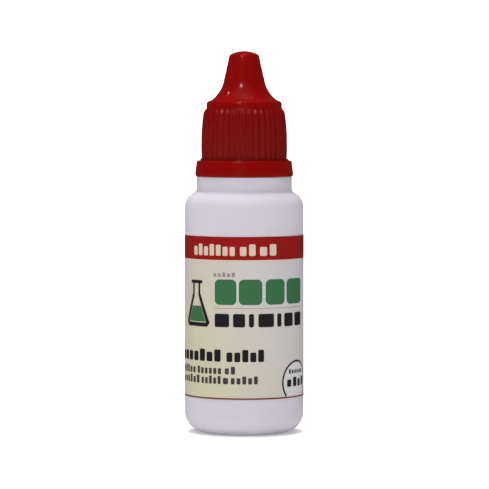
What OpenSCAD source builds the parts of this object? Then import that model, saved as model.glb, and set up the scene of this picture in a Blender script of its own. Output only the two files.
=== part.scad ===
// Squeeze dropper bottle: a blow-moulded bottle, a press-in dropper, a spired screw cap with its
// tamper band and breakable bridges, and a wrap-around label. Millimetres, +Z up, the origin at
// the centre of the face that it stands on, and the label's front towards -Y.

/* [Bottle] */
// Diameter of the body
body_d = 27; // [24:0.5:34]
// Height of the straight wall, where the shoulder starts
body_h = 51.3; // [40:0.1:80]
// Thickness of the bottle's wall
wall = 0.9; // [0.7:0.1:1.4]
// Radius of the bottom corner
corner_r = 4.5; // [3:0.1:6]
// Width of the flat ring that it stands on
foot_w = 1.5; // [1:0.1:2.5]
// Depth of the hollow under the base
push_up = 1.2; // [0.5:0.1:2]
// Radius of the shoulder
shoulder_r = 3.7; // [2.5:0.1:5]

/* [Neck] */
// Diameter of the collar under the tamper band
collar_d = 21.7; // [20:0.1:22]
// Height of the collar above the shoulder
collar_h = 3.15; // [2:0.05:6]
// Diameter of the neck between its threads
neck_d = 14.2; // [13.6:0.1:15.2]
// Wall of the neck, round the bore that the dropper is pressed into
neck_wall = 1.2; // [1:0.1:1.6]
// Height of the neck above the collar
neck_h = 14.4; // [13:0.1:18]
// How far the bead that keeps the tamper band on stands out from the neck
bead_reach = 2.1; // [1.6:0.1:2.6]
// Thickness of that bead
bead_h = 1.2; // [0.8:0.1:1.6]

/* [Thread] */
// Rise of the thread in one turn
pitch = 3; // [2.8:0.1:3.6]
// Height of the thread above its wall
thread_depth = 0.85; // [0.6:0.05:1]
// Width of the thread at its foot
thread_foot_w = 1.5; // [1.2:0.05:1.6]
// Width of the thread at its crest
thread_crest_w = 0.8; // [0.5:0.05:1]
// Turns of thread on the neck
neck_turns = 1.5; // [1:0.25:1.75]
// Turns of thread in the cap
cap_turns = 1.25; // [1:0.25:1.5]
// Radial gap between a thread's crest and the wall that faces it
thread_gap = 0.2; // [0.1:0.05:0.3]

/* [Dropper] */
// Thickness of the flange that rests on the neck
flange_t = 1; // [0.8:0.1:1.6]
// Length of the plug inside the neck
plug_l = 7; // [5:0.1:9]
// Wall of the plug
plug_wall = 1; // [0.7:0.1:1.3]
// Number of sealing beads round the plug
plug_beads = 3; // [2:1:4]
// Interference of a sealing bead in the bore, on the radius
plug_bite = 0.04; // [0.02:0.01:0.08]
// Height of the nozzle above the flange
nozzle_h = 9.2; // [8:0.1:9.6]
// Diameter of the nozzle at its foot
nozzle_foot_d = 7.8; // [6.6:0.1:8.4]
// Diameter of the nozzle at its tip
nozzle_tip_d = 3; // [2.6:0.1:3.4]
// Bore of the channel that meters the drops
channel_d = 0.7; // [0.5:0.1:1]
// Diameter of the mouth that the cap's pin closes
mouth_d = 1.6; // [1.4:0.1:2]

/* [Cap] */
// Wall of the skirt over its ribs, where it is widest
skirt_wall = 1.63; // [1.4:0.01:2]
// Radius of the skirt's barrel-shaped side
barrel_r = 52; // [40:1:90]
// Height of the widest place above the skirt's lower edge
barrel_h = 3.2; // [2:0.1:5]
// Number of grip ribs
rib_count = 40; // [24:1:48]
// Depth of the grooves between the ribs
rib_depth = 0.4; // [0.25:0.05:0.5]
// How far the smooth step above the ribs stands outside the skirt's bore
step_reach = 0.4; // [0.35:0.05:0.7]
// Height of the smooth step
step_h = 1.5; // [1:0.1:2.5]
// Width of the step's flat edge round the spire's flare
step_edge = 0.4; // [0.35:0.05:0.8]
// Radius of the spire's flare
flare_r = 7.3; // [6:0.1:9]
// Slope of the flare where it meets the step, in degrees
flare_slope = 30; // [20:1:40]
// Taper of the spire from the vertical, in degrees
spire_taper = 12.5; // [9:0.5:14]
// Room over the nozzle inside the spire
nozzle_room = 2.7; // [1.4:0.1:4]
// Wall of the spire
spire_wall = 1.1; // [0.8:0.1:1.3]
// Thickness of the cap's top at the flare
top_t = 1.55; // [1.2:0.05:2]
// Gap between the cap's inner top and the dropper's flange
seat_gap = 0.15; // [0.1:0.05:0.3]

/* [Tamper band] */
// Wall of the band at its upper edge
band_wall = 1.35; // [1.1:0.05:1.7]
// How much further out the band's lower edge is
band_flare = 0.34; // [0:0.02:0.6]
// Height of the band
band_h = 3.6; // [3:0.1:5]
// Gap between the band and the collar under it
band_gap = 0.25; // [0.15:0.05:0.5]
// Height of the lip that hooks under the bead
lip_h = 1.5; // [1:0.1:1.7]
// How far the lip reaches under the bead
lip_hook = 0.7; // [0.4:0.1:1]
// Number of bridges between the band and the cap
bridge_count = 4; // [3:1:12]
// Width of a bridge
bridge_w = 1.1; // [0.6:0.1:1.6]
// Height of a bridge
bridge_h = 0.45; // [0.3:0.05:0.8]
// Direction of the first bridge, in degrees from +X
bridge_angle = -109.6; // [-180:0.1:180]

/* [Label] */
// Thickness of the label
label_t = 0.12; // [0.06:0.01:0.2]
// Height of the label's lower edge
label_z = 8.4; // [7:0.1:12]
// Height of the label
label_h = 36.6; // [25:0.1:40]
// Width of the bare strip between the label's ends
label_seam = 2.4; // [1:0.1:8]
// Direction of that strip's middle, in degrees from +X
seam_angle = 55; // [-180:1:180]

/* [Hidden] */
$fn = 96;

arc_steps = 12;             // straight pieces in a rounded stretch of an outline
barrel_steps = 5;           // straight pieces in the skirt's barrel-shaped side
rib_share = 0.6;            // a rib's share of the space from one rib to the next
thread_steps = 36;          // pieces in one turn of a thread
thread_fade = 30;           // degrees over which a thread runs out
embed = 0.25;               // how far a thread's foot reaches into its wall
edge_r = 0.3;               // rounding of the cap's and band's outer edges
running_gap = 0.25;         // radial gap between the bead and the band around it
thread_end_gap = 1.3;       // from the neck's top to the middle of its thread
plug_groove = 0.15;         // depth of the grooves between the plug's beads
plug_bead_w = 0.8;          // width of a sealing bead
plug_lead = 0.6;            // chamfer at the plug's lower end
nozzle_root_r = 1.2;        // fillet at the nozzle's foot
nozzle_tip_r = 0.3;         // rounding of the nozzle's tip
nozzle_wall = 1.3;          // wall of the nozzle at its foot
channel_l = 3;              // length of the metering channel
mouth_l = 1;                // depth of the mouth above the channel
pin_gap = 0.05;             // radial gap between the cap's pin and the mouth
pin_l = 0.9;                // how far the pin reaches into the mouth
boss_d = 3;                 // the boss that carries the pin
tip_edge_r = 1;             // rounding of the spire's top edge
tip_dome_r = 7;             // radius of the spire's domed top
tip_t = 1.4;                // thickness of the spire's top
spire_mouth_gap = 0.5;      // radial gap round the nozzle's fillet
seal_lip_w = 0.5;           // the lip that presses on the dropper's flange
seal_lip_h = 0.1;

body_r = body_d / 2;
collar_r = collar_d / 2;
neck_r = neck_d / 2;
bore_r = neck_r - neck_wall;
bead_r = neck_r + bead_reach;
inner_r = body_r - wall;

// The shoulder's arc ends where it meets the collar, or at its top if the collar is further in.
shoulder_x = body_r - shoulder_r;
shoulder_end = collar_r > shoulder_x ? acos((collar_r - shoulder_x) / shoulder_r) : 90;
shoulder_z = body_h + shoulder_r * sin(shoulder_end);
collar_z = shoulder_z + collar_h;
finish_z = collar_z + neck_h;
flange_z = finish_z + flange_t;
nozzle_z = flange_z + nozzle_h;

band_z = collar_z + band_gap;
band_top_z = band_z + band_h;
band_bore_r = bead_r + running_gap;
band_top_r = band_bore_r + band_wall;
band_r = band_top_r + band_flare;
bead_z = band_z + lip_h + band_gap;

skirt_z = band_top_z + bridge_h;
cap_bore_r = neck_r + thread_depth + thread_gap;
skirt_r = cap_bore_r + skirt_wall;
step_r = cap_bore_r + step_reach;
cap_in_z = flange_z + seat_gap;
flare_z = cap_in_z + top_t;
ceiling_z = nozzle_z + nozzle_room;
tip_z = ceiling_z + tip_t;
step_z = flare_z - step_h;

label_r = body_r + label_t;
label_gap_angle = label_seam / label_r * 180 / PI;

// Points of an arc about [x, z], from one angle to another.
function arc(x, z, r, from, to) =
    [for (i = [0:arc_steps]) let (a = from + (to - from) * i / arc_steps)
        [x + r * cos(a), z + r * sin(a)]];

// One ring of a thread's cross-section, as four points in space.
function thread_ring(foot_r, crest_r, angle, z) =
    [for (p = [[foot_r, -thread_foot_w / 2], [crest_r, -thread_crest_w / 2],
               [crest_r, thread_crest_w / 2], [foot_r, thread_foot_w / 2]])
        [p[0] * cos(angle), p[0] * sin(angle), z + p[1]]];

// A right-hand thread on a wall of radius wall_r. Side is 1 on the outside of a wall and -1 on
// the inside of one. Its crest sinks into the wall at both ends, so the thread runs out smoothly.
module thread(wall_r, side, turns, z) {
    n = ceil(turns * thread_steps);
    sweep = turns * 360;
    foot_r = wall_r - side * embed;
    function fade(a) = min(1, a / thread_fade, (sweep - a) / thread_fade);
    points = [for (i = [0:n]) let (a = sweep * i / n)
        each thread_ring(foot_r, foot_r + side * (embed / 2 + (thread_depth + embed / 2) * fade(a)),
                         a, z + pitch * a / 360)];
    sides = [for (i = [0:n - 1], k = [0:3]) let (a = 4 * i + k, b = 4 * i + (k + 1) % 4)
        each [[a, a + 4, b], [b, a + 4, b + 4]]];
    ends = [[0, 1, 2], [0, 2, 3], [4 * n, 4 * n + 2, 4 * n + 1], [4 * n, 4 * n + 3, 4 * n + 2]];
    faces = concat(sides, ends);
    polyhedron(points, side < 0 ? faces : [for (f = faces) [f[0], f[2], f[1]]]);
}

// The bottle's outside above its base, from the bottom corner to the neck's top.
function bottle_outside() = concat(
    arc(body_r - corner_r, corner_r, corner_r, -90, 0),
    arc(shoulder_x, body_h, shoulder_r, 0, shoulder_end),
    [[collar_r, shoulder_z],
     [collar_r, collar_z],
     [neck_r, collar_z],
     [neck_r, bead_z],
     [bead_r, bead_z],
     [bead_r, bead_z + bead_h / 2],
     [neck_r, bead_z + bead_h],
     [neck_r, finish_z]]);

// The bottle's inside, from the neck's top down to the bottom corner.
function bottle_inside() = concat(
    [[bore_r, finish_z],
     [bore_r, collar_z - wall],
     [collar_r - wall, collar_z - wall],
     [collar_r - wall, shoulder_z - wall / 2]],
    arc(shoulder_x, body_h, shoulder_r - wall, min(shoulder_end, 85), 0),
    arc(body_r - corner_r, corner_r, corner_r - wall, 0, -90));

module bottle() color("whitesmoke") {
    foot_in = body_r - corner_r - foot_w;
    union() {
        rotate_extrude()
            polygon(concat(
                [[0, push_up], [foot_in - push_up, push_up], [foot_in, 0]],
                bottle_outside(),
                bottle_inside(),
                [[foot_in, wall], [foot_in - push_up, push_up + wall], [0, push_up + wall]]));
        thread(neck_r, 1, neck_turns, finish_z - thread_end_gap - neck_turns * pitch);
    }
}

// The plug's outside from its lower end to the flange, with a sealing bead at each third of it.
function plug_outside() = let (groove_r = bore_r - plug_groove, bead_step = (plug_l - plug_lead) / plug_beads)
    concat([[groove_r - plug_lead / 2, finish_z - plug_l]],
        [for (i = [0:plug_beads - 1]) let (z = finish_z - plug_l + plug_lead + bead_step * i)
            each [[groove_r, z], [bore_r + plug_bite, z + plug_groove],
                  [bore_r + plug_bite, z + plug_bead_w], [groove_r, z + plug_bead_w + plug_groove]]],
        [[groove_r, finish_z]]);

module dropper_insert() color("ghostwhite") {
    foot_r = nozzle_foot_d / 2;
    tip_r = nozzle_tip_d / 2;
    plug_in = bore_r - plug_wall;
    cavity_z = nozzle_z - mouth_l - channel_l;
    rotate_extrude()
        polygon(concat(
            plug_outside(),
            [[neck_r, finish_z], [neck_r, flange_z]],
            arc(foot_r + nozzle_root_r, flange_z + nozzle_root_r, nozzle_root_r, -90, -180),
            arc(tip_r - nozzle_tip_r, nozzle_z - nozzle_tip_r, nozzle_tip_r, 0, 90),
            [[mouth_d / 2, nozzle_z],
             [mouth_d / 2, nozzle_z - mouth_l],
             [channel_d / 2, nozzle_z - mouth_l - mouth_d / 4],
             [channel_d / 2, cavity_z],
             [foot_r - nozzle_wall, finish_z],
             [plug_in, finish_z],
             [plug_in, finish_z - plug_l]]));
}

// The skirt's radius over its ribs at a height: an arc that is widest at barrel_h.
function barrel(z) =
    skirt_r - barrel_r + sqrt(pow(barrel_r, 2) - pow(z - skirt_z - barrel_h, 2));

// The skirt's side from its lower edge to where it rounds over under the step, set in from the
// tops of the ribs.
function skirt_side(inset) = let (round_z = step_z - 2 * edge_r)
    [for (i = [0:barrel_steps]) let (z = skirt_z + (round_z - skirt_z) * i / barrel_steps)
        [barrel(z) - inset, z]];

module cap_ribs() {
    rib_angle = 360 / rib_count * rib_share;
    foot_r = cap_bore_r + embed;
    for (i = [0:rib_count - 1])
        rotate(360 / rib_count * i - rib_angle / 2)
            rotate_extrude(angle = rib_angle)
                polygon(concat([[foot_r, skirt_z]], skirt_side(0), [[foot_r, step_z]]));
}

// The cap without its ribs: the skirt, the step, the hollow spire and the pin that shuts the dropper.
module cap_shell() {
    flare_x = step_r - step_edge + flare_r * sin(flare_slope);
    flare_cz = flare_z + flare_r * cos(flare_slope);
    cone_x = flare_x - flare_r * cos(spire_taper);
    cone_z = flare_cz - flare_r * sin(spire_taper);
    slope = tan(spire_taper);

    // The top edge's rounding touches the cone on one side and the dome on the other.
    dome_z = tip_z - tip_dome_r;
    line = cone_x + cone_z * slope - tip_edge_r / cos(spire_taper);
    mid = line * slope + dome_z;
    spread = pow(line, 2) + pow(dome_z, 2) - pow(tip_dome_r - tip_edge_r, 2);
    edge_z = (mid + sqrt(mid * mid - (1 + slope * slope) * spread)) / (1 + slope * slope);
    edge_x = line - edge_z * slope;
    dome_angle = atan2(edge_z - dome_z, edge_x);

    inner_flare_r = flare_r + spire_wall;
    mouth_x = nozzle_foot_d / 2 + nozzle_root_r + spire_mouth_gap;
    mouth_angle = acos((mouth_x - flare_x) / inner_flare_r);
    ceiling_x = cone_x + (cone_z - ceiling_z) * slope - spire_wall / cos(spire_taper);
    pin_r = mouth_d / 2 - pin_gap;
    seal_x = (mouth_x + neck_r) / 2;

    rotate_extrude()
        polygon(concat(
            [[cap_bore_r, skirt_z]],
            skirt_side(rib_depth),
            [[step_r + edge_r / 2, step_z], [step_r, step_z]],
            arc(step_r - edge_r, flare_z - edge_r, edge_r, 0, 60),
            arc(flare_x, flare_cz, flare_r, 270 - flare_slope, 180 + spire_taper),
            arc(edge_x, edge_z, tip_edge_r, spire_taper, dome_angle),
            arc(0, dome_z, tip_dome_r, dome_angle, 90),
            [[0, nozzle_z - pin_l],
             [pin_r * 0.6, nozzle_z - pin_l],
             [pin_r, nozzle_z - pin_l * 0.6],
             [pin_r, nozzle_z + pin_l / 2],
             [boss_d / 2, nozzle_z + pin_l / 2 + 0.3],
             [boss_d / 2, ceiling_z],
             [ceiling_x, ceiling_z]],
            arc(flare_x, flare_cz, inner_flare_r, 180 + spire_taper, 360 - mouth_angle),
            [[mouth_x, cap_in_z],
             [seal_x - seal_lip_w / 2, cap_in_z],
             [seal_x, cap_in_z - seal_lip_h],
             [seal_x + seal_lip_w / 2, cap_in_z],
             [cap_bore_r, cap_in_z]]));
}

module cap() color("firebrick")
    union() {
        cap_shell();
        cap_ribs();
        thread(cap_bore_r, -1, cap_turns,
               finish_z - thread_end_gap - neck_turns * pitch - pitch / 2);
    }

module tamper_band() color("firebrick") {
    lip_r = bead_r - lip_hook;
    rotate_extrude()
        polygon(concat(
            [[lip_r, band_z + edge_r]],
            [[lip_r + edge_r, band_z]],
            arc(band_r - edge_r, band_z + edge_r, edge_r, -90, 0),
            arc(band_top_r - edge_r, band_top_z - edge_r, edge_r, 0, 90),
            [[band_bore_r, band_top_z],
             [band_bore_r, band_z + lip_h],
             [lip_r, band_z + lip_h - edge_r]]));
}

module tamper_bridges() color("indianred") {
    in_r = barrel(skirt_z) - rib_depth - bridge_w / 2;
    out_r = band_bore_r + bridge_w / 2;
    sweep = bridge_w / out_r * 180 / PI;
    for (i = [0:bridge_count - 1])
        rotate(bridge_angle - sweep / 2 + 360 / bridge_count * i)
            rotate_extrude(angle = sweep)
                translate([in_r, band_top_z])
                    square([out_r - in_r, bridge_h]);
}

module label() color("antiquewhite")
    rotate(seam_angle + label_gap_angle / 2)
        rotate_extrude(angle = 360 - label_gap_angle)
            translate([body_r, label_z])
                square([label_t, label_h]);

bottle();
dropper_insert();
cap();
tamper_band();
tamper_bridges();
label();
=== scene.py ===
"""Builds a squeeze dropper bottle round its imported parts: a blow-moulded bottle, a press-in
dropper, a spired screw cap with its tamper band, and a printed label, on a pale studio floor."""

import math

import bmesh
import bpy
from bpy.props import FloatProperty, FloatVectorProperty, IntProperty, PointerProperty
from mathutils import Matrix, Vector


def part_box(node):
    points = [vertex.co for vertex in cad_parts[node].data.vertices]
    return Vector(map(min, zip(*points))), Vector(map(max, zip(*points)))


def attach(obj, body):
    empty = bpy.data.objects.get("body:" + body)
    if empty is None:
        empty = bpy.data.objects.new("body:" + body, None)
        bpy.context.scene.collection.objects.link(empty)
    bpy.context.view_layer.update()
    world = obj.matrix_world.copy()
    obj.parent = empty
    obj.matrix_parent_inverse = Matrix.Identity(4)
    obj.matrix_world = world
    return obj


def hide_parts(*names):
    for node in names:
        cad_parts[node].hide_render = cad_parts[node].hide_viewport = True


bl_info = {
    "name": "Dropper Bottle",
    "version": (1, 0, 0),
    "blender": (4, 5, 0),
    "location": "3D View > Sidebar > Dropper Bottle",
    "description": "Builds a squeeze dropper bottle with its cap, band and printed label",
    "category": "Add Mesh",
}

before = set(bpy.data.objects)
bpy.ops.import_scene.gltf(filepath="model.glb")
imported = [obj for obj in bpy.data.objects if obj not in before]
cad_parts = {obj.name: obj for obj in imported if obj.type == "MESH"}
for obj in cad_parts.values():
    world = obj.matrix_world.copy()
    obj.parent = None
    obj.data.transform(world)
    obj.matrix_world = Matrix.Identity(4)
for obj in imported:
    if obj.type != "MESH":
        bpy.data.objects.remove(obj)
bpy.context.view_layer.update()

MM = 0.001
ARC_STEP = math.radians(11)
QUARTER = math.pi / 2
NEARLY_STRAIGHT = math.radians(89)
HARD_EDGE = math.radians(40)
WELD = 1e-6
TOUCH = 1e-8
HAIR = 0.01 * MM
PLAY = 0.25 * MM
SEAL_GAP = 0.15 * MM
SEAM_HALF_WIDTH = 0.026
WAVES_PER_METRE = 75.0

BOTTLE_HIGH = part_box("bottle")[1]
DROPPER_LOW, DROPPER_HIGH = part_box("dropper_insert")
CAP_LOW, CAP_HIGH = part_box("cap")
BAND_LOW, BAND_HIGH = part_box("tamper_band")
BRIDGE_LOW, BRIDGE_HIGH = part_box("tamper_bridges")
LABEL_LOW, LABEL_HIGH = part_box("label")


# ---- Sizes and colours that a user would change ----


def length(name, value, description):
    """A length property, whose default is given in millimetres."""
    return FloatProperty(
        name=name, description=description, default=value * MM, min=0.0, precision=5,
        subtype="DISTANCE", unit="LENGTH",
    )


def degrees(name, value, description):
    """An angle property, whose default is given in degrees."""
    return FloatProperty(
        name=name, description=description, default=math.radians(value), subtype="ANGLE",
    )


def number(name, value, description):
    return FloatProperty(name=name, description=description, default=value, min=0.0)


def whole(name, value, description, least):
    return IntProperty(name=name, description=description, default=value, min=least)


def colour(name, value, description):
    return FloatVectorProperty(
        name=name, description=description, default=value, min=0.0, max=1.0, size=3,
        subtype="COLOR",
    )


class DROPPER_PG_bottle(bpy.types.PropertyGroup):
    wall: length("Wall", 0.9, "Thickness of the bottle's wall")
    corner: length("Bottom corner", 4.5, "Radius of the bottom corner")
    foot: length("Foot", 1.5, "Width of the flat ring that the bottle stands on")
    push_up: length("Push-up", 1.2, "Depth of the hollow under the base")
    straight: length("Straight wall", 51.3, "Height at which the shoulder starts")
    shoulder: length("Shoulder", 3.7, "Radius of the shoulder")
    collar: length("Collar", 10.85, "Radius of the collar under the band")
    collar_height: length("Collar height", 3.34, "Height of the collar above the shoulder")
    neck: length("Neck", 7.1, "Radius of the neck between its threads")
    neck_wall: length("Neck wall", 1.2, "Wall of the neck round the dropper")
    bead: length("Bead", 2.1, "How far the bead under the band stands out from the neck")
    bead_height: length("Bead height", 1.2, "Thickness of that bead")
    seam: length("Parting line", 0.035, "Height of the line that the mould's halves leave")
    wave: length("Waviness", 0.03, "Depth of the slow unevenness of the blown wall")
    columns: whole("Columns", 240, "Faces round the bottle", 24)
    plastic: colour("Plastic", (0.685, 0.652, 0.712), "Colour of the white plastic")


class DROPPER_PG_thread(bpy.types.PropertyGroup):
    pitch: length("Pitch", 3.0, "Rise of the thread in one turn")
    depth: length("Depth", 0.85, "Height of the thread above its wall")
    foot: length("Foot width", 1.5, "Width of the thread at its foot")
    crest: length("Crest width", 0.8, "Width of the thread at its crest")
    neck_turns: number("Turns on the neck", 1.5, "Turns of thread on the neck")
    cap_turns: number("Turns in the cap", 1.25, "Turns of thread in the cap")
    end_gap: length("End gap", 1.3, "From the neck's top to the middle of its thread")


class DROPPER_PG_dropper(bpy.types.PropertyGroup):
    flange: length("Flange", 1.0, "Thickness of the flange on the neck")
    nozzle_foot: length("Nozzle foot", 3.9, "Radius of the nozzle at its foot")
    nozzle_tip: length("Nozzle tip", 1.5, "Radius of the nozzle at its tip")
    mouth: length("Mouth", 0.8, "Radius of the mouth that lets the drops out")
    channel: length("Channel", 0.35, "Radius of the channel that meters the drops")
    plastic: colour("Plastic", (0.88, 0.88, 0.85), "Colour of the natural plastic")


class DROPPER_PG_cap(bpy.types.PropertyGroup):
    ribs: whole("Ribs", 40, "Number of grip ribs", 8)
    rib_depth: length("Rib depth", 0.30, "Depth of the grooves between the ribs")
    barrel: length("Barrel", 52.0, "Radius of the skirt's barrel-shaped side")
    widest: length("Widest", 3.2, "Height of the widest place above the lower edge")
    bore: length("Bore", 8.15, "Radius of the skirt's bore")
    skirt_wall: length("Skirt wall", 1.63, "Wall of the skirt over its ribs")
    step: length("Step", 8.55, "Radius of the smooth step above the ribs")
    step_height: length("Step height", 1.5, "Height of the smooth step")
    flare: length("Flare", 7.3, "Radius of the spire's flare")
    flare_slope: degrees("Flare slope", 30, "Slope of the flare where it meets the step")
    taper: degrees("Taper", 12.5, "Taper of the spire from the vertical")
    spire_wall: length("Spire wall", 1.1, "Wall of the spire")
    top: length("Top", 1.55, "Thickness of the cap's top at the flare")
    plastic: colour("Plastic", (0.248, 0.0024, 0.0018), "Colour of the red plastic")


class DROPPER_PG_band(bpy.types.PropertyGroup):
    flare: length("Flare", 0.34, "How much further out the band's lower edge is")
    web: length("Web", 0.26, "Thickness of the web that is left where the band broke off")
    lip: length("Lip", 1.5, "Height of the lip that hooks under the bead")
    hook: length("Hook", 0.7, "How far the lip reaches under the bead")
    bridges: whole("Bridges", 4, "Number of breakable bridges", 1)
    first_bridge: degrees("First bridge", -109.6, "Direction of the first bridge, from +X")


class DROPPER_PG_label(bpy.types.PropertyGroup):
    film: length("Film", 0.07, "Thickness of the label's film")
    ink: length("Ink", 0.014, "Thickness of a layer of print")
    seam: length("Seam", 2.4, "Bare strip between the label's ends")
    seam_angle: degrees("Seam angle", 55, "Direction of the bare strip's middle, from +X")
    warm: colour("Warm ground", (0.595, 0.545, 0.38), "Ground colour at the lower left")
    cool: colour("Cool ground", (0.58, 0.56, 0.60), "Ground colour at the upper right")
    red: colour("Red ink", (0.30, 0.0035, 0.0025), "Colour of the band along the top")
    line: colour("Line ink", (0.19, 0.035, 0.04), "Colour of the line along the bottom")
    cream: colour("Cream ink", (0.68, 0.54, 0.43), "Colour of the print on the red band")
    green: colour("Green ink", (0.045, 0.16, 0.065), "Colour of the large blocks")
    dark: colour("Dark ink", (0.018, 0.015, 0.016), "Colour of the dark rows")
    text: colour("Text ink", (0.060, 0.052, 0.050), "Colour of the two rows of fine print")
    grey: colour("Grey ink", (0.30, 0.28, 0.27), "Colour of the small row over the blocks")
    gold: colour("Gold ink", (0.38, 0.30, 0.17), "Colour of the thin rule")
    disc: colour("Disc", (0.68, 0.66, 0.68), "Ground colour inside the ring")


class DROPPER_PG_stage(bpy.types.PropertyGroup):
    distance: length("Camera distance", 683, "Distance from the camera to the bottle's axis")
    height: length("Camera height", 76, "Height of the camera above the floor")
    aim: length("Aim", 42.67, "Height on the bottle's axis that the camera looks at")
    lens: FloatProperty(name="Lens", description="Focal length", default=220.9, unit="CAMERA")
    floor: colour("Floor", (0.90, 0.90, 0.90), "Colour of the floor and the backdrop")


# ---- Node trees ----


def operator(operation, swapped=False):
    """A method that joins a Value to another through a Math node."""

    def method(self, other):
        pair = (other, self) if swapped else (self, other)
        return self.tree.node("ShaderNodeMath", {"operation": operation}, *pair)

    return method


class Value:
    """One output of a node, which Python's operators join to others."""

    __add__ = __radd__ = operator("ADD")
    __sub__ = operator("SUBTRACT")
    __rsub__ = operator("SUBTRACT", swapped=True)
    __mul__ = __rmul__ = operator("MULTIPLY")
    __truediv__ = operator("DIVIDE")
    __rtruediv__ = operator("DIVIDE", swapped=True)
    __pow__ = operator("POWER")

    def __init__(self, tree, socket):
        self.tree, self.socket = tree, socket

    def math(self, operation, *others, clamp=False):
        settings = {"operation": operation, "use_clamp": clamp}
        return self.tree.node("ShaderNodeMath", settings, self, *others)

    def clamped(self):
        return self.math("ADD", 0.0, clamp=True)

    def size(self):
        return self.math("ABSOLUTE")


class Tree:
    """A node tree being written."""

    def __init__(self, nodes):
        self.nodes = nodes

    def node(self, kind, settings=None, *values, output=0, **sockets):
        """Adds a node, sets it up, and gives its inputs values or links. A keyword names a socket
        with its spaces written as underscores."""
        made = self.nodes.nodes.new(kind)
        for key, value in (settings or {}).items():
            setattr(made, key, value)
        named = {key.replace("_", " "): value for key, value in sockets.items()}
        for key, value in [*enumerate(values), *named.items()]:
            if isinstance(value, Value):
                self.nodes.links.new(value.socket, made.inputs[key])
            elif value is not None:
                made.inputs[key].default_value = value
        return Value(self, made.outputs[output]) if made.outputs else None

    def vector(self, operation, *values):
        return self.node("ShaderNodeVectorMath", {"operation": operation}, *values)

    def scaled(self, vector, amount):
        return self.node("ShaderNodeVectorMath", {"operation": "SCALE"}, vector, Scale=amount)

    def point(self, x, y, z):
        return self.node("ShaderNodeCombineXYZ", None, x, y, z)

    def parts(self, vector):
        made = self.node("ShaderNodeSeparateXYZ", None, vector).socket.node
        return [Value(self, made.outputs[i]) for i in range(3)]


class Rule(Tree):
    """A Geometry Nodes tree with named inputs, which ends in Realize Instances and Set Material."""

    def __init__(self, name, inputs):
        super().__init__(bpy.data.node_groups.new(name, "GeometryNodeTree"))
        face = self.nodes.interface
        face.new_socket("Geometry", in_out="INPUT", socket_type="NodeSocketGeometry")
        for key, kind in [*inputs.items(), ("Material", "Material")]:
            face.new_socket(key, in_out="INPUT", socket_type="NodeSocket" + kind)
        face.new_socket("Geometry", in_out="OUTPUT", socket_type="NodeSocketGeometry")
        self.entry = self.nodes.nodes.new("NodeGroupInput")

    def input(self, name):
        return Value(self, self.entry.outputs[name])

    def end(self, geometry):
        whole = self.node("GeometryNodeRealizeInstances", None, geometry)
        smooth = self.node("GeometryNodeSetShadeSmooth", None, whole)
        painted = self.node("GeometryNodeSetMaterial", None, smooth,
                            Material=self.input("Material"))
        leave = self.nodes.nodes.new("NodeGroupOutput")
        self.nodes.links.new(painted.socket, leave.inputs[0])
        return self.nodes


def run_rule(piece, rule, **values):
    """Runs a Geometry Nodes tree on a piece and keeps its result as the piece's plain mesh."""
    modifier = piece.modifiers.new(rule.name, "NODES")
    modifier.node_group = rule
    for item in rule.interface.items_tree:
        key = item.name.replace(" ", "_").lower()
        if item.in_out == "INPUT" and key in values:
            modifier[item.identifier] = values[key]
    depsgraph = bpy.context.evaluated_depsgraph_get()
    mesh = bpy.data.meshes.new_from_object(piece.evaluated_get(depsgraph), depsgraph=depsgraph)
    piece.modifiers.clear()
    old, piece.data = piece.data, mesh
    bpy.data.meshes.remove(old)
    mesh.name = piece.name
    return piece


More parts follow.
